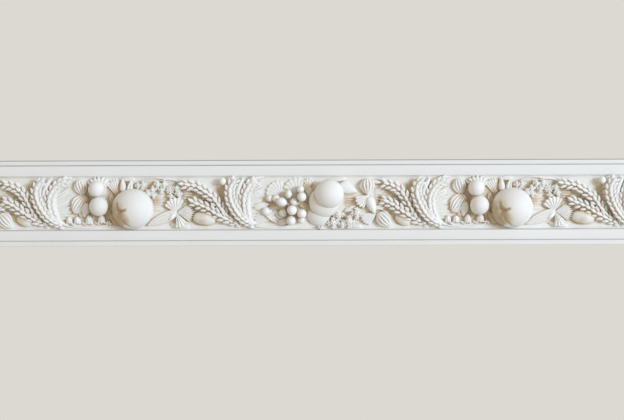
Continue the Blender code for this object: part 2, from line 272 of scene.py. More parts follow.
def ear(group, line, half_widths, rises, pitch, grain, columns, spread, lift, gap, beard=0):
    """An ear from its stalk to its tip. grain is a grain's half length, half width and half thickness."""
    spine = smooth_line(line)
    total = spine[-1][2]

    def half_width(s):
        grown = half_widths[0] + (half_widths[1] - half_widths[0]) * min(1.0, s / 0.35)
        return grown * (1 - max(0.0, s - 0.72) ** 2 * 6) ** 0.5

    def rise(s):
        climb = math.sin(math.pi / 2 * min(1.0, s / 0.55))
        return rises[0] + (rises[1] - rises[0]) * climb + (rises[2] - rises[1]) * max(0.0, s - 0.55) / 0.45

    def core(s, t):
        u, z, (du, dz) = point_on(spine, s)
        half = half_width(s) * 0.9
        out = RIM if at_rim(s, t) else rise(s) - gap - 3.2 * t * t
        return u - t * half * dz, z + t * half * du, out

    group.slab("stalk", 26, 6, core)
    for k in range(int(total / pitch) + 1):
        for column in range(columns):
            side = (column - (columns - 1) / 2) / ((columns - 1) / 2)
            s = (k + 0.3 + (0.5 if column % 2 else 0)) * pitch / total
            if s > 0.985:
                continue
            u, z, (du, dz) = point_on(spine, s)
            half = half_width(s) * 0.72
            size = (0.75 + 0.25 * min(1.0, s / 0.3)) * rng.uniform(0.9, 1.1)
            heading = math.atan2(dz, du) + math.radians(spread * side + rng.uniform(-8, 8))
            out = rise(s) + 0.3 - 2.6 * side * side + rng.uniform(-0.3, 0.3)
            at = (u - side * half * dz, z + side * half * du, out)
            tilt = lift * (1 - 0.4 * abs(side)) + rng.uniform(-0.08, 0.08)
            group.add(GRAIN, set_along(*at, heading, tilt, [size * g for g in grain]))
    u, z, (du, dz) = point_on(spine, 1)
    base = math.degrees(math.atan2(dz, du))
    for turn in range(beard):
        angle = base + (turn - (beard - 1) / 2) * 13
        bristle(group, (u - 3 * du, z - 3 * dz), angle, 9 - abs(turn - 1) * 1.5, 1.1, rise(1) * 0.7)


def bristle(group, start, angle, length, width, height):
    """A beard that tapers from start and sinks to the ground."""
    heading = math.radians(angle)

    def surface(s, t):
        u = start[0] + length * s * math.cos(heading)
        z = start[1] + length * s * math.sin(heading)
        half = width / 2 * (1 - 0.75 * s**1.5)
        out = LOW_RIM if abs(t) > EDGE or s > EDGE else height * (1 - 0.6 * s) * (1 - 0.35 * t * t)
        return u - t * half * math.sin(heading), z + t * half * math.cos(heading), out

    group.slab("bristle", 6, 4, surface)


orchard = Group()
vine = Group()

SHORT_GRAIN = (5.5, 2.6, 2.3)
LONG_GRAIN = (6.2, 2.8, 3.0)

ORCHARD_OUTER = [(5, -37), (-12, -28), (-24, -15.5), (-32.5, -1), (-37, 14.5), (-35, 27), (-25, 38)]
ORCHARD_INNER = [(4, -36), (-7, -27), (-14, -15), (-16.8, -3), (-16, 9), (-11, 20), (-2, 30), (10, 37)]
VINE_OUTER = [(3, -36), (-12, -27.5), (-23, -15), (-31, -0.5), (-34.5, 13), (-33, 26), (-25, 38)]
VINE_INNER = [(4, -36), (-7, -27), (-11, -15), (-12.5, -3), (-12, 9), (-8, 20), (-2, 30), (8, 37.5)]

for group, outer, inner in ((orchard, ORCHARD_OUTER, ORCHARD_INNER), (vine, VINE_OUTER, VINE_INNER)):
    ear(group, outer, (5, 8.4), (7, 18, 12), 8, SHORT_GRAIN, 3, 24, 0.28, 1.2)
    ear(group, inner, (5, 8), (6, 15, 9), 8, SHORT_GRAIN, 3, 24, 0.28, 1.2)

ORCHARD_UPPER = [(285, -35), (267, -22), (256, -11), (248, 0), (240, 10), (229, 18), (216, 26), (201, 29)]
ORCHARD_UPPER += [(185, 31)]
ORCHARD_LOWER = [(285, -36), (270, -29), (256, -22), (243, -15), (230, -7), (216, -1), (203, 6)]
VINE_UPPER = [(280, -37), (264, -27), (256, -16), (249, -4), (243, 7), (237, 16), (228, 24), (216, 29)]
VINE_UPPER += [(205, 31)]
VINE_LOWER = [(279, -37), (273, -32), (258, -27), (246, -19), (235, -12), (224, -4), (212, 2), (202, 5)]

for group, trailing in ((orchard, (ORCHARD_UPPER, ORCHARD_LOWER)), (vine, (VINE_UPPER, VINE_LOWER))):
    for line in trailing:
        ear(group, line, (4, 8), (3, 11, 9), 10, LONG_GRAIN, 3, 28, 0.34, 2.2, beard=3)

# Leaves, sheaths, pods and beards
#
# They are carved thin at the edge and thick in the middle, with veins cut by a gouge, and are cast in one
# with the run. The beards and the reeds behind the fruit are fine ridges, hardly proud of the ground.


def lobe(group, base, angle, length, width, height, ribs=1, widest=0.42, veins=0, along=12, dish=0):
    """A leaf lobe, petal or pod that grows from base towards angle. Its ribs meet at the base."""
    heading = math.radians(angle)
    across = max(10, 6 * ribs)
    skew = math.log(0.5) / math.log(widest)

    def surface(s, t):
        swell = math.sin(math.pi * s**skew) ** 0.7 if 0 < s < 1 else 0
        side = t * width / 2 * swell
        reach = length * s * (1 - 0.3 * t * t * (1 - s))
        crown = height * (1 - t * t) ** 0.5 * (0.45 + 0.55 * swell) * (1 - dish * (1 - s))
        if ribs > 1:
            crown -= 0.3 * height * swell * abs(math.cos(math.pi * ribs * (t + 1) / 2)) ** 2.5
            crown += 0.08 * height * swell
        if veins:
            slope = abs(math.sin(math.pi * (veins * s - 1.3 * abs(t)))) ** 8
            crown -= 0.9 * math.exp(-((t / 0.09) ** 2)) + 0.4 * slope * swell
        u = base[0] + reach * math.cos(heading) - side * math.sin(heading)
        z = base[1] + reach * math.sin(heading) + side * math.cos(heading)
        return u, z, RIM if at_rim(s, t) else 0.8 + max(crown, RIM)

    group.slab("lobe", along, across, surface)


def shell(group, base, headings, reaches, height, ribs=5, scallop=0.08, bow=0, along=10, hub=0.4):
    """A fan-shaped leaf. Its ribs leave base between two headings and end in a scalloped edge."""
    across = 6 * ribs

    def surface(s, t):
        share = (t + 1) / 2
        groove = abs(math.cos(math.pi * ribs * share))
        turn = math.radians(headings[0] + (headings[1] - headings[0]) * share + bow * s / 2)
        reach = reaches[0] + (reaches[1] - reaches[0]) * share
        reach *= s * (1 - scallop * groove**2) * (1 + 0.12 * math.sin(math.pi * share))
        crown = height * (hub + (1 - hub) * math.sin(math.pi / 2 * min(1.0, 1.4 * s))) * (1 - 0.3 * t * t)
        crown -= 0.2 * height * min(1.0, 2 * s) * groove**5
        out = RIM if at_rim(s, t) else max(crown, 0.6)
        return base[0] + reach * math.cos(turn), base[1] + reach * math.sin(turn), out

    group.slab("shell", along, across, surface)


def blade(group, line, width, height, along=20):
    """A long smooth leaf, sheath or stem along line, pointed at both ends."""
    spine = smooth_line(line)

    def surface(s, t):
        u, z, (du, dz) = point_on(spine, s)
        half = width / 2 * math.sin(math.pi * (0.06 + 0.88 * s)) ** 0.6
        out = LOW_RIM if at_rim(s, t) else height * (1 - 0.3 * s) * (1 - t * t) ** 0.5
        return u - t * half * dz, z + t * half * du, out

    group.slab("blade", along, 6, surface)


def fan(group, edge, headings, reach, ribs, height, bow=0):
    """Fine beards or reeds, side by side, that leave the line edge towards the headings at its two ends."""
    spine = smooth_line(edge)

    def surface(s, t):
        share = (t + 1) / 2
        u, z, _ = point_on(spine, share)
        ridge = 0.5 + 0.5 * math.cos(2 * math.pi * ribs * share)
        turn = math.radians(headings[0] + (headings[1] - headings[0]) * share + bow * s)
        far = reach * s * (0.8 + 0.2 * ridge) * (0.9 + 0.1 * math.cos(9 * share * ribs))
        out = height * (1 - 0.6 * s) * (0.4 + 0.6 * ridge) * min(1.0, 5 * s) * min(1.0, 6 * (1 - abs(t)))
        out = LOW_RIM if abs(t) > EDGE or s > EDGE else out
        return u + far * math.cos(turn), z + far * math.sin(turn), out

    group.slab("fan", 8, 4 * ribs, surface)


def sheaf(group, inner, sheath, tip):
    """The smooth sheaths beside the two short ears, and the beards that fan out from the inner one."""
    blade(group, sheath, 15, 15)
    blade(group, tip, 9, 9)
    blade(group, inner[:-1], 24, 11)
    fan(group, inner[1:-1], (-16, 44), 38, 15, 5.5, 10)


sheaf(
    orchard,
    ORCHARD_INNER,
    [(-8, -30), (-20, -14), (-25, 4), (-25, 20), (-15, 40)],
    [(-16, 18), (-10, 30), (2, 38), (18, 41)],
)
sheaf(
    vine,
    VINE_INNER,
    [(-9, -28), (-17, -13), (-22, 4), (-22, 20), (-13, 40)],
    [(-12, 18), (-7, 30), (4, 38), (20, 41)],
)

lobe(orchard, (36, 11), 106, 29, 24, 8, ribs=5, widest=0.6, along=14, dish=0.4)
lobe(orchard, (41, 14), 236, 37, 30, 9, ribs=6, widest=0.55, along=16, dish=0.5)
lobe(orchard, (43, 2), 256, 26, 17, 9)
shell(orchard, (60, 14), (138, 42), (28, 27), 6, 7, scallop=0.14)
for u, z, angle, length, width in (
    (84, -6, 104, 22, 14),
    (92, -34, 128, 26, 15),
    (80, 2, 250, 26, 15),
    (-52, -12, 112, 26, 12),
    (118, 38, 180, 26, 9),
    (140, -34, 12, 40, 10),
    (205, -38, 172, 34, 9),
    (30, -22, 60, 20, 11),
):
    lobe(orchard, (u, z), angle, length, width, 3.6, veins=4)
shell(orchard, (93, 4), (126, 84), (33, 34), 4, 6, scallop=0.05, bow=10)
lobe(orchard, (100, 14), 96, 25, 13, 8)
lobe(orchard, (107, 12), 78, 26, 12, 9, ribs=2)
hub = (183, -15)
shell(orchard, hub, (158, 58), (22, 24), 8, 6, bow=-8, along=16)
shell(orchard, hub, (322, 268), (21, 25), 9, 4, bow=-8, along=16)
lobe(orchard, (181, -16), 231, 17, 10, 8)
lobe(orchard, (186, -14), 203, 56, 19, 7, ribs=4, along=18)
shell(orchard, hub, (36, -36), (25, 28), 6.5, 10, scallop=0.14, hub=0.7, along=12)
fan(orchard, [(146, -13), (144, 2), (146, 14)], (-5, 5), 24, 7, 3)
fan(orchard, [(192, -8), (192, 8), (190, 27)], (-8, 6), 24, 9, 4)
blade(orchard, [(2, -35), (25, -38), (52, -38), (78, -33)], 4, 4)
blade(orchard, [(118, 30), (133, 37), (152, 39.5), (192, 34)], 3, 5)
blade(orchard, [(150, 33), (165, 37), (180, 36), (196, 31)], 3, 5)
blade(orchard, [(222, 6), (232, 6), (244, 2), (256, -8)], 7, 5)
for angle in (150, 100, 50, 10):
    lobe(orchard, (75, -33), angle, 7, 4, 4, along=6)

for u, z, angle, length, width in (
    (92, -10, 150, 26, 14),
    (96, 8, 120, 30, 14),
    (40, -34, 20, 34, 12),
    (150, 38, 184, 34, 9),
    (166, -8, 196, 22, 12),
    (176, -38, 176, 34, 8),
    (52, -24, 150, 24, 12),
    (212, -4, 200, 22, 11),
    (-52, -6, 100, 26, 11),
):
    lobe(vine, (u, z), angle, length, width, 3.6, veins=4)
shell(vine, (47, 12), (196, 86), (26, 24), 3.4, 7, scallop=0.06)
shell(vine, (72, 14), (160, 42), (26, 24), 3.4, 7, scallop=0.06)
shell(vine, (2, -36), (74, 16), (32, 40), 4.5, 6, scallop=0.04, along=12)
lobe(vine, (2, -8), 14, 28, 14, 5)
blade(vine, [(0, -36), (22, -38.5), (52, -37), (68, -33)], 4.5, 4)
blade(vine, [(20, -18), (30, -27), (42, -33)], 2.4, 8, along=10)
blade(vine, [(50, 2), (60, -3), (70, -2), (78, 2)], 9, 9)
shell(vine, (90, 22), (128, 58), (16, 16), 5, 4, scallop=0.1)
lobe(vine, (135, 27), -17, 34, 21, 8)
lobe(vine, (141, 31), 4, 16, 7, 5, along=8)
lobe(vine, (183.5, 10), 93, 29, 26, 11, ribs=5, widest=0.64, along=16)
shell(vine, (186, 12), (184, 250), (24, 24), 9, 5)
lobe(vine, (184, 10), 290, 31, 18, 10)
shell(vine, (199, -17), (178, 236), (29, 24), 6, 6, scallop=0.06)
lobe(vine, (199, -16), -47, 31, 26, 10, ribs=5, widest=0.5, along=16)
lobe(vine, (186, 34), -8, 24, 7, 5, along=8)
fan(vine, [(145, -16), (147, -2), (146, 12)], (-6, 6), 26, 7, 3)
fan(vine, [(190, -8), (193, 8), (192, 28)], (-12, 8), 26, 10, 4)
blade(vine, [(195, -11), (204, -11), (217, -16)], 2.6, 6, along=10)
blade(vine, [(222, 6), (232, 6), (242, 0), (252, -10)], 7, 5)

# Fruit and nuts
#
# They are the boldest forms of the carving, smooth and round, and narrow only a little below their widest
# section, because the mould has to draw off them.

HOLLOW = Vector((-0.63, -0.18, 0.76))  # the way the great fruit's stalk hollow faces
LONG_CREASES = (252, 288)  # the ways its long creases leave the hollow, in degrees
SHORT_CREASES = (104, 18)
CREASE_WIDTH = 0.07  # creases and hollow are shares of the fruit's size
CREASE_DEPTH = 0.06
HOLLOW_DEPTH = 0.2
HOLLOW_WIDTH = 0.15
NECK = 0.8  # how wide a fruit is below, where it goes into the ground


def crease_depth(heading, away, creases, start, end):
    """How deep a crease is at this heading and distance from the hollow, from 0 to 1."""
    nearest = min(abs((heading - crease + 180) % 360 - 180) for crease in creases)
    across = math.radians(nearest) * math.sin(away)
    depth = math.exp(-((across / CREASE_WIDTH) ** 2))
    return depth * min(1.0, away / start) * max(0.0, 1 - (away / end) ** 4)


def great_fruit(at):
    """How far a unit ball is drawn in there. The hollow is at its pole, the creases on its meridians."""
    away = math.acos(max(-1.0, min(1.0, at.z)))
    heading = math.degrees(math.atan2(at.y, at.x))
    crease = crease_depth(heading, away, LONG_CREASES, 0.3, 1.7)
    crease = max(crease, 1.7 * crease_depth(heading, away, SHORT_CREASES, 0.08, 0.55))
    return 1 - HOLLOW_DEPTH * math.exp(-((away / HOLLOW_WIDTH) ** 2)) - CREASE_DEPTH * crease


def fruit(group, centre, radii, h, segments, rings, turn=0.0, shape=None):
    """A round fruit whose widest section stands at h, on a neck that goes into the ground."""
    bm = bmesh.new()
    bmesh.ops.create_uvsphere(bm, u_segments=segments, v_segments=rings, radius=1)
    depth = (h + ROOT) / radii[2]
    spin = Matrix.Rotation(math.radians(turn), 4, "Z") @ Matrix.Diagonal((*radii, 1))
    for vert in bm.verts:
        if shape:
            vert.co *= shape(vert.co)
            vert.co.rotate(Vector((0, 0, 1)).rotation_difference(HOLLOW))
        girth = vert.co.xy.length
        if vert.co.z < 0 and girth < NECK:
            out = vert.co.xy * (NECK / girth) if girth > 0.02 else vert.co.xy * 0
            vert.co = (*out, -max(depth, 0.7))
        vert.co = spin @ vert.co + Vector((*centre, h))
    group.keep("fruit", bm)


fruit(orchard, (57.5, 22), (13, 13, 13), 10, 28, 18)
fruit(orchard, (62, -5), (15, 15.2, 15), 14, 32, 20)
fruit(orchard, (114.5, -9), (33, 32, 29.9), 6, 60, 40, shape=great_fruit)
fruit(orchard, (228, -24), (20, 11.5, 10), 1, 28, 14, -4)


def bell(group, centre, width, height):
    """A bell flower that hangs, its mouth cut into lobes."""

    def surface(s, t):
        flare = math.sin(math.pi / 2 * min(1, s / 0.6)) ** 0.6 * 0.86 + 0.14 * max(0.0, (s - 0.6) / 0.4) ** 2
        lobes = abs(math.cos(1.5 * math.pi * t))
        z = centre[1] + height * (0.5 - s) + 0.1 * height * (1 - lobes) * max(0.0, s - 0.5) * 2
        out = 3 + 0.42 * width * (1 - t * t) ** 0.5 * (0.55 + 0.45 * math.sin(math.pi * min(1, 0.1 + s)))
        out -= 0.5 * (1 - lobes) ** 2 * min(1.0, 2 * s)
        return centre[0] + t * width / 2 * flare, z, LOW_RIM if at_rim(s, t) else out

    group.slab("bell", 12, 12, surface)


for u, z, width, height in (
    (13.5, -27, 12, 12),
    (26, -27, 13, 13),
    (44.5, -26, 13, 17),
    (64.5, -25, 15, 16),
):
    bell(orchard, (u, z), width, height)
    lobe(orchard, (u - 2, z - 8), 160, 11, 6, 3, along=8)

for u, z, radius, h, stretch, turn in (
    (47, 1, 7, 15, 1.25, -20),
    (38, 7, 5.6, 8, 1.1, 30),
    (58, 13.5, 6.6, 11, 0.8, 0),
    (79, 9, 7.6, 16, 0.95, 0),
    (77, 21, 6, 9, 1.0, 0),
    (63.5, -12, 7.8, 18, 1.0, 0),
    (79, -17.5, 7.4, 15, 1.0, 0),
    (62, -28.5, 7.7, 13, 0.95, 0),
    (78, -27.5, 5.4, 7, 1.0, 0),
    (28, 7, 5.6, 4, 1.1, -20),
    (22, -13.5, 7, 5, 1.0, 0),
    (49, -16, 6.4, 7, 1.0, 0),
    (66, 1, 6, 9, 1.0, 0),
):
    fruit(vine, (u, z), (radius * stretch, radius, radius), h, 16, 10, turn)
fruit(vine, (107, -18), (21, 21, 15), -3, 36, 20)
fruit(vine, (114.5, 1), (24.5, 24.5, 15), 7, 40, 22)
fruit(vine, (122, 13.5), (23, 22.5, 18.9), 17, 44, 24)
for angle in (160, 215, 270, 325, 20):
    lobe(vine, (108, -39), angle, 4.5, 3, 9, along=6)
fruit(vine, (-46, 34), (5.5, 6, 5), 9, 16, 10)
fruit(vine, (240, -26.5), (14.5, 10, 8), 1, 24, 14, -28)

# Flowers and seeds
#
# Small flower heads fill the gaps between the fruit, each a knot of tiny petals round a seed. They are the
# finest carving that the mould takes.


def flower(group, centre, radius, h, petals=5, turn=0.0):
    """A tiny flower that faces out of the field."""
    for k in range(petals):
        angle = turn + 2 * math.pi * k / petals
        at = (centre[0] + 0.6 * radius * math.cos(angle), centre[1] + 0.6 * radius * math.sin(angle), h)
        group.add(PETAL, set_along(*at, angle, 0.5, (0.5 * radius, 0.36 * radius, 0.4 * radius)))
    group.add(PETAL, set_along(*centre, h + 0.1 * radius, 0, 0, (0.3 * radius, 0.3 * radius, 0.4 * radius)))


def flower_head(group, centre, radius, h):
    """A knot of tiny flowers on a low mound."""
    fruit(group, centre, (radius * 0.75, radius * 0.75, radius * 0.5), h, 10, 6)
    for k in range(4):
        angle = 2 * math.pi * k / 4 + rng.uniform(-0.3, 0.3)
        at = (centre[0] + 0.72 * radius * math.cos(angle), centre[1] + 0.72 * radius * math.sin(angle))
        flower(group, at, 0.52 * radius, h + 0.25 * radius, turn=rng.uniform(0, 6))
    flower(group, centre, 0.5 * radius, h + 0.6 * radius, turn=rng.uniform(0, 6))


for u, z, radius in (
    (123, 27.5, 5),
    (131, 29, 6),
    (139, 15, 6),
    (146, 21, 6),
    (147, 12.5, 5),
    (154, 29, 6),
    (160, 21, 5),
    (164, 29.5, 6),
    (175, 10.5, 5),
    (184, 23, 6),
    (187, 14, 6),
):
    flower_head(orchard, (u, z), radius, 4)
for u, z, radius in ((136.5, -20, 8.5), (128.5, -32, 8.5), (153.5, -30, 9), (166, -17, 8.5), (143, -34, 6)):
    flower_head(vine, (u, z), radius, 5)
for ring, petals in ((7.5, 9), (4.6, 6), (2.4, 4)):
    flower(orchard, (173.5, 21), ring, 6 - 0.5 * ring, petals, ring)

# The casting
#
# Run and carving are one casting in plaster, brushed with matt white paint that fills the finest lines. Its
# deep corners carry painted shade in warm brown, and a painted highlight makes the proud parts the whitest.

reach = REPEAT / 2
for turn in range(-2, 3):
    for setback, group in ((0, orchard), (VINE_SETBACK, vine)):
        foot = FIRST_FOOT + turn * REPEAT + setback
        if -LENGTH / MM / 2 - reach < foot < LENGTH / MM / 2 + reach / 2:
            group.cast_at(foot)

union = run.modifiers.new("carving", "BOOLEAN")
union.operation = "UNION"
union.solver = "MANIFOLD"
union.operand_type = "COLLECTION"
union.collection = carving
SAWN = (LENGTH, 200 * MM, 400 * MM)  # all that the saw leaves, from the flat back forwards
bm = bmesh.new()
block = Matrix.Translation((0, -SAWN[1] / 2, 0)) @ Matrix.Diagonal((*SAWN, 1))
bmesh.ops.create_cube(bm, size=1, matrix=block)
block_mesh = bpy.data.meshes.new("cut_square")
bm.to_mesh(block_mesh)
bm.free()
cut_square = bpy.data.objects.new("cut_square", block_mesh)
bpy.context.scene.collection.objects.link(cut_square)
cut = run.modifiers.new("cut_square", "BOOLEAN")
cut.operation = "INTERSECT"
cut.solver = "MANIFOLD"
cut.object = cut_square


def join_casting():
    """The casting's one closed surface, without what was sealed inside it."""
    bpy.context.view_layer.update()
    whole = bpy.data.meshes.new_from_object(run.evaluated_get(bpy.context.evaluated_depsgraph_get()))
    bm = bmesh.new()
    bm.from_mesh(whole)
    seen = set()
    largest = []
    for seed in bm.verts:
        if seed in seen:
            continue
        shell = [seed]
        seen.add(seed)
        for vert in shell:
            for edge in vert.link_edges:
                other = edge.other_vert(vert)
                if other not in seen:
                    seen.add(other)
                    shell.append(other)
        if len(shell) > len(largest):
            largest = shell
    inside = set(largest)
    bmesh.ops.delete(bm, geom=[v for v in bm.verts if v not in inside], context="VERTS")
    bmesh.ops.triangulate(bm, faces=bm.faces[:])
    for face in bm.faces:
        face.material_index = 0
    bm.to_mesh(whole)
    bm.free()
    whole.materials.clear()
    return whole


SHARP_EDGE = math.radians(48)  # the paint rounds any edge that is blunter than this

casting = bpy.data.objects.new("cast_moulding", join_casting())
bpy.context.scene.collection.objects.link(casting)
for helper in [run, cut_square, *carving.objects]:
    bpy.data.objects.remove(helper)
bpy.data.collections.remove(carving)
casting.data.shade_smooth()
casting.data.set_sharp_from_angle(angle=SHARP_EDGE)

PROBE = 0.7 * MM  # how closely the relief is felt for hollows
FEEL = (1.4, 2.8, 4.2, 5.6, 8.4, 11.2, 15.4, 21)  # how far off it is felt, in millimetres
PROUD_REACH = 3.5  # how far round a point the relief is felt to tell whether it stands out
HIGHLIGHT_FULL = 1.2 * MM  # what stands out this far gets the cleanest white, a painted highlight
DIP_SHADE = -0.25  # how much browner a narrow dip is than the paint round it, as painted shade
WHITE = 0.2  # where flat, open paint is between the cleanest white (painted highlight) and deepest brown (painted shade)
SIDES = 16  # on how many sides the relief is felt
EVENLY = 0.2  # how much every side counts, beside what the lit side counts more
UNDERCUT = 0.34  # painted shade: how much browner a point is that lies under the relief in front of it
UNDERCUT_FULL = 4 * MM
SHADE_EASED_FROM = 34 * MM  # how far up and down the field the painted shade starts to ease off, towards the bands
SHADE_EASED_OVER = 6 * MM
SHADE_EASED_SHARE = 0.72
LIT_SIDE = math.radians(25)  # the painted shade falls as if lit mostly from this side, the upper right, where the key light stands

# Brown patches of painted shade, as (u, z, radius, strength, how far out of the ground it reaches)
ORCHARD_SHADE_PATCHES = (
    (45, 21, 8, 0.6, 14),
    (47, 2, 8, 0.6, 14),
    (36, 8, 6, 0.4, 14),
    (46, -12, 8, 0.3, 9),
    (84, -4, 9, 0.55, 12),
    (84, 16, 11, 0.45, 10),
    (96, 28, 9, 0.3, 10),
    (90, -26, 9, 0.45, 14),
    (152, 2, 9, 0.55, 9),
    (142, 27, 7, 0.5, 9),
    (155, 24, 5, 0.45, 9),
    (172, 13, 7, 0.4, 9),
    (94, -16, 5, 0.9, 90),
    (92, -24, 9, 0.65, 70),
    (88, -10, 17, 0.64, 90),
    (102, -29, 14, 0.62, 90),
    (108, -4, 22, 0.24, 90),
    (226, -26, 14, 0.72, 30),
    (231, 5, 8, 0.45, 9),
    (200, 12, 10, 0.3, 9),
    (212, -20, 8, 0.35, 9),
    (-48, 6, 7, 0.5, 14),
    (-46, 24, 8, 0.5, 14),
    (-40, -8, 6, 0.4, 14),
    (-30, -22, 7, 0.4, 14),
)
VINE_SHADE_PATCHES = (
    (30, 2, 9, 0.35, 9),
    (50, -10, 8, 0.4, 9),
    (70, 0, 8, 0.45, 9),
    (88, -4, 9, 0.6, 14),
    (88, 26, 9, 0.4, 9),
    (154, 2, 9, 0.6, 9),
    (143, -27, 8, 0.45, 9),
    (205, 6, 9, 0.35, 9),
    (228, 5, 8, 0.45, 9),
    (222, -20, 8, 0.3, 9),
    (238, -28, 10, 0.55, 30),
    (-49, 22, 8, 0.5, 14),
    (-46, 4, 7, 0.45, 14),
    (-33, -16, 7, 0.4, 14),
)
SEATS = [
    (FIRST_FOOT + turn * REPEAT + setback, shade_patches)
    for turn in range(-2, 3)
    for setback, shade_patches in ((0, ORCHARD_SHADE_PATCHES), (VINE_SETBACK, VINE_SHADE_PATCHES))
]


def shifted(heights, distance, turn):
    """The height map as it is this far off towards this side, in millimetres."""
    rows, columns = heights.shape
    right = round(distance * MM * math.cos(turn) / PROBE)
    up = round(distance * MM * math.sin(turn) / PROBE)
    row = np.clip(np.arange(rows) + up, 0, rows - 1)
    column = np.clip(np.arange(columns) + right, 0, columns - 1)
    return heights[row[:, None], column[None, :]]


def sheltered(heights, turn):
    """How much of the sky the relief hides from each cell towards this side, from 0 to 1."""
    slope = np.zeros_like(heights)
    for distance in FEEL:
        slope = np.maximum(slope, (shifted(heights, distance, turn) - heights) / (distance * MM))
    return slope / np.sqrt(1 + slope**2)


def mark_painted_shade(piece):
    """Stores how brown each point's paint is as painted shade and highlight, from 0 where it stands out to 1
    in a sheltered corner.
    """
    mesh = piece.data
    tree = BVHTree.FromPolygons(
        [v.co.copy() for v in mesh.vertices], [tuple(p.vertices) for p in mesh.polygons]
    )
    columns = round(LENGTH / PROBE)
    rows = round(2 * half_outline()[0][1] / PROBE)
    heights = np.zeros((rows, columns))
    far = Vector((0, -1, 0))
    towards = Vector((0, 1, 0))
    for row in range(rows):
        far.z = (row + 0.5 - rows / 2) * PROBE
        for column in range(columns):
            far.x = (column + 0.5 - columns / 2) * PROBE
            hit = tree.ray_cast(far, towards)[0]
            heights[row, column] = -hit.y if hit else 0
    # Painted shade: brown where the relief hides the sky, most where it hides the lit upper right.
    shade = np.zeros_like(heights)
    around = np.zeros_like(heights)
    whole = 0
    for k in range(SIDES):
        turn = 2 * math.pi * k / SIDES
        weight = EVENLY + max(0.0, math.cos(turn - LIT_SIDE))
        shade += weight * sheltered(heights, turn)
        around += shifted(heights, PROUD_REACH, turn) / SIDES
        whole += weight
    # Painted highlight on what stands out of the carving, painted shade in its narrow dips.
    proud = np.clip((heights - around) / HIGHLIGHT_FULL, DIP_SHADE, 1)
    points = np.empty(len(mesh.vertices) * 3)
    mesh.vertices.foreach_get("co", points)
    points = points.reshape(-1, 3)
    column = np.clip((points[:, 0] / PROBE + columns / 2).astype(int), 0, columns - 1)
    row = np.clip((points[:, 2] / PROBE + rows / 2).astype(int), 0, rows - 1)
    # Painted shade under the relief in front of a point.
    under = np.clip((heights[row, column] + points[:, 1]) / UNDERCUT_FULL, 0, 1)
    shade_and_highlight = shade[row, column] / whole + UNDERCUT * under
    # Painted shade in patches, such as the great fruit's shaded left side and stalk hollow, and the lee of
    # leaves.
    for foot, shade_patches in SEATS:
        for u, z, radius, strength, reach in shade_patches:
            low = np.clip(1.5 - 1.5 * (-points[:, 1] - GROUND_THICKNESS) / (reach * MM), 0, 1)
            away = (points[:, 0] - (foot + u) * MM) ** 2 + (points[:, 2] - z * MM) ** 2
            shade_and_highlight += strength * low * np.exp(-away / (radius * MM) ** 2)
    # The painted shade is eased off on the coves and bands.
    shade_eased = np.clip((np.abs(points[:, 2]) - SHADE_EASED_FROM) / SHADE_EASED_OVER, 0, 1)
    shade_and_highlight *= 1 - SHADE_EASED_SHARE * shade_eased
    carved = np.abs(points[:, 2]) < FIELD_HEIGHT / 2 - MM
    shade_and_highlight = np.clip(WHITE + (1 - WHITE) * shade_and_highlight - WHITE * proud[row, column] * carved, 0, 1)
    # The hollow attribute holds this painted shade and painted highlight.
    hollow = mesh.attributes.new("hollow", "FLOAT", "POINT")
    hollow.data.foreach_set("value", shade_and_highlight.astype(np.float32))


mark_painted_shade(casting)


def linear(code):
    """The linear colour of an sRGB hex code."""
    levels = [int(code[k : k + 2], 16) / 255 for k in (0, 2, 4)]
    return (*[v / 12.92 if v <= 0.04045 else ((v + 0.055) / 1.055) ** 2.4 for v in levels], 1.0)


def add_node(tree, kind, settings=None, **links):
    """A node with its settings, and its inputs set to values or linked to sockets."""
    node = tree.nodes.new(kind)
    for key, value in (settings or {}).items():
        setattr(node, key, value)
    for key, value in links.items():
        socket = node.inputs[int(key[1:])] if key[0] == "i" and key[1:].isdigit() else node.inputs[key]
        if isinstance(value, bpy.types.NodeSocket):
            tree.links.new(value, socket)
        else:
            socket.default_value = value
    return node


# The paint's tones, from the cleanest white of the painted highlight to the deepest brown of the painted
# shade.
TONES = (
    (0.0, "FFFFFE"),
    (0.2, "F3F3F2"),
    (0.62, "F1EFE9"),
    (0.74, "E9DFD1"),
    (0.87, "DCCDB6"),
    (1.0, "CFBB9E"),
)
DARK_TOP_EDGE = (1.8 * MM, 1.0 * MM)  # below the top edge, where the darkening starts and where it is full
UPPER_GROOVE = FIELD_HEIGHT / 2 + BAND_HEIGHT + GROOVE_WIDTH / 3
DARK_LINES = (-FIELD_HEIGHT / 2, UPPER_GROOVE)  # a dark line on the lower band's sill, and one of painted shade in the upper groove
DARK_LINE_SPREAD = 0.8 * MM  # how far such a dark line reaches each way
BLOTCHES = 110.0  # to a metre, each a 9 mm patch where the painted shade's brown is deeper or fainter
CLOUDS = 16.0  # to a metre, each a 62 mm stretch where the white has aged more or less
STIPPLE = 900.0  # grains to a metre that the brush left, 1.1 mm each, coarse enough to show


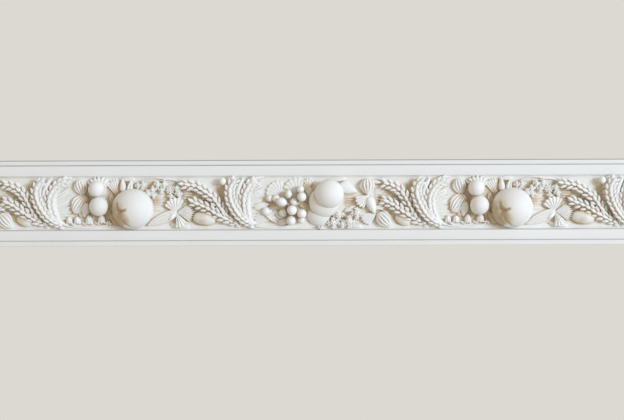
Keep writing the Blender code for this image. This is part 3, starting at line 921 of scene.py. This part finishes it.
def painted_plaster():
    """Matt white emulsion on cast plaster, with painted shade in warm brown in its corners, a painted
    highlight where it stands out, and darker along its top edge and two lines.
    """
    material = bpy.data.materials.new("painted_plaster")
    material.use_nodes = True
    tree = material.node_tree
    shader = tree.nodes["Principled BSDF"]
    place = add_node(tree, "ShaderNodeTexCoord").outputs["Object"]
    # The hollow attribute carries the painted shade and painted highlight.
    hollow = add_node(tree, "ShaderNodeAttribute", {"attribute_name": "hollow"}).outputs["Fac"]
    blotch = add_node(tree, "ShaderNodeTexNoise", Vector=place, Scale=BLOTCHES, Detail=4.0, Roughness=0.65)
    # A random mottle in how deep the painted shade is.
    shade_mottle = add_node(
        tree, "ShaderNodeMath", {"operation": "MULTIPLY_ADD"}, i0=blotch.outputs["Fac"], i1=0.5, i2=0.75
    )
    shade_and_highlight = add_node(tree, "ShaderNodeMath", {"operation": "MULTIPLY"}, i0=hollow, i1=shade_mottle.outputs[0])
    colour = add_node(tree, "ShaderNodeValToRGB", Fac=shade_and_highlight.outputs[0])
    ramp = colour.color_ramp.elements
    for at, _ in TONES[1:-1]:
        ramp.new(at)
    for element, (at, shade) in zip(ramp, TONES):
        element.position = at
        element.color = linear(shade)
    cloud = add_node(tree, "ShaderNodeTexNoise", Vector=place, Scale=CLOUDS, Detail=3.0)
    fade = add_node(tree, "ShaderNodeMapRange", Value=cloud.outputs["Fac"], i3=0.955, i4=1.02)
    edge = add_node(tree, "ShaderNodeSeparateXYZ", Vector=place)
    top = half_outline()[0][1]
    # Darker along the top edge.
    top_edge_tone = add_node(
        tree,
        "ShaderNodeMapRange",
        Value=edge.outputs["Z"],
        i1=top - DARK_TOP_EDGE[0],
        i2=top - DARK_TOP_EDGE[1],
        i3=1.0,
        i4=0.42,
    )
    line_darkening = add_node(
        tree, "ShaderNodeMapRange", Value=cloud.outputs["Fac"], i1=0.3, i2=0.7, i3=-0.24, i4=-0.42
    ).outputs[0]
    multiply = {"operation": "MULTIPLY"}
    tone = add_node(tree, "ShaderNodeMath", multiply, i0=fade.outputs[0], i1=top_edge_tone.outputs[0]).outputs[0]
    # Dark lines along the lower band's sill and, as painted shade, in the upper groove.
    for height in DARK_LINES:
        line = add_node(
            tree, "ShaderNodeMath", {"operation": "COMPARE"}, i0=edge.outputs["Z"], i1=height, i2=DARK_LINE_SPREAD
        ).outputs[0]
        left = add_node(
            tree, "ShaderNodeMath", {"operation": "MULTIPLY_ADD"}, i0=line, i1=line_darkening, i2=1.0
        ).outputs[0]
        tone = add_node(tree, "ShaderNodeMath", multiply, i0=tone, i1=left).outputs[0]
    worn = add_node(
        tree, "ShaderNodeVectorMath", {"operation": "SCALE"}, i0=colour.outputs[0], Scale=tone
    ).outputs[0]
    tree.links.new(worn, shader.inputs["Base Color"])
    grain = add_node(tree, "ShaderNodeTexNoise", Vector=place, Scale=STIPPLE, Detail=3.0)
    rough = add_node(tree, "ShaderNodeMapRange", Value=grain.outputs["Fac"], i3=0.5, i4=0.7)
    tree.links.new(rough.outputs[0], shader.inputs["Roughness"])
    bump = add_node(tree, "ShaderNodeBump", Strength=0.25, Distance=0.15 * MM, Height=grain.outputs["Fac"])
    tree.links.new(bump.outputs[0], shader.inputs["Normal"])
    shader.inputs["Specular IOR Level"].default_value = 0.35
    return material


casting.data.materials.append(painted_plaster())
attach(casting, "root")
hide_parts("frieze_moulding")

# Floor, light and camera
#
# The moulding hangs clear of a pale floor, seen square on from a little below its centre line, in soft, pale
# light from all round with a cooler light from the right.

FLOOR_DROP = 0.9
FLOOR_REACH = 1.5
PALE = "DCD9D2"
AIR_COLOUR = "EEE8DB"
AIR_STRENGTH = 0.65

bm = bmesh.new()
bmesh.ops.create_grid(bm, x_segments=1, y_segments=1, size=FLOOR_REACH)
floor_mesh = bpy.data.meshes.new("floor")
bm.to_mesh(floor_mesh)
bm.free()
floor = bpy.data.objects.new("floor", floor_mesh)
floor.location.z = -FLOOR_DROP
bpy.context.scene.collection.objects.link(floor)
pale = bpy.data.materials.new("pale_floor")
pale.use_nodes = True
pale.node_tree.nodes["Principled BSDF"].inputs["Base Color"].default_value = linear(PALE)
pale.node_tree.nodes["Principled BSDF"].inputs["Roughness"].default_value = 0.9
floor_mesh.materials.append(pale)

world = bpy.data.worlds.new("studio")
world.use_nodes = True
air = world.node_tree
dim = air.nodes["Background"]
dim.inputs["Color"].default_value = linear(AIR_COLOUR)
dim.inputs["Strength"].default_value = AIR_STRENGTH
seen = add_node(air, "ShaderNodeBackground", Color=linear(PALE))
choice = add_node(air, "ShaderNodeMixShader", i1=dim.outputs[0], i2=seen.outputs[0])
air.links.new(add_node(air, "ShaderNodeLightPath").outputs["Is Camera Ray"], choice.inputs[0])
air.links.new(choice.outputs[0], air.nodes["World Output"].inputs[0])
bpy.context.scene.world = world


def soft_light(name, place, power, size, colour):
    """A large square light that faces the moulding."""
    lamp = bpy.data.lights.new(name, "AREA")
    lamp.energy = power
    lamp.size = size
    lamp.color = linear(colour)[:3]
    made = bpy.data.objects.new(name, lamp)
    made.location = place
    made.rotation_euler = (-Vector(place)).to_track_quat("-Z", "Y").to_euler()
    bpy.context.scene.collection.objects.link(made)


soft_light("key", place=(5.5, -4.7, 1.0), power=360, size=1.8, colour="DFECFF")

VIEW_DISTANCE = 1.9
VIEW_DROP = 11.7 * MM  # how far the eye is below the centre line
VIEW_TILT = math.radians(0.194)  # how far the picture is turned
VIEW_WIDTH = 990.5 * MM  # how much of the run the picture is wide
SENSOR = 36

camera = bpy.data.cameras.new("camera")
camera.sensor_width = SENSOR
camera.lens = SENSOR * VIEW_DISTANCE / VIEW_WIDTH
viewer = bpy.data.objects.new("camera", camera)
viewer.location = (0, -VIEW_DISTANCE - GROUND_THICKNESS, -VIEW_DROP)
viewer.rotation_euler = (math.pi / 2, VIEW_TILT, 0)
bpy.context.scene.collection.objects.link(viewer)
bpy.context.scene.camera = viewer
bpy.context.scene.view_settings.view_transform = "Standard"
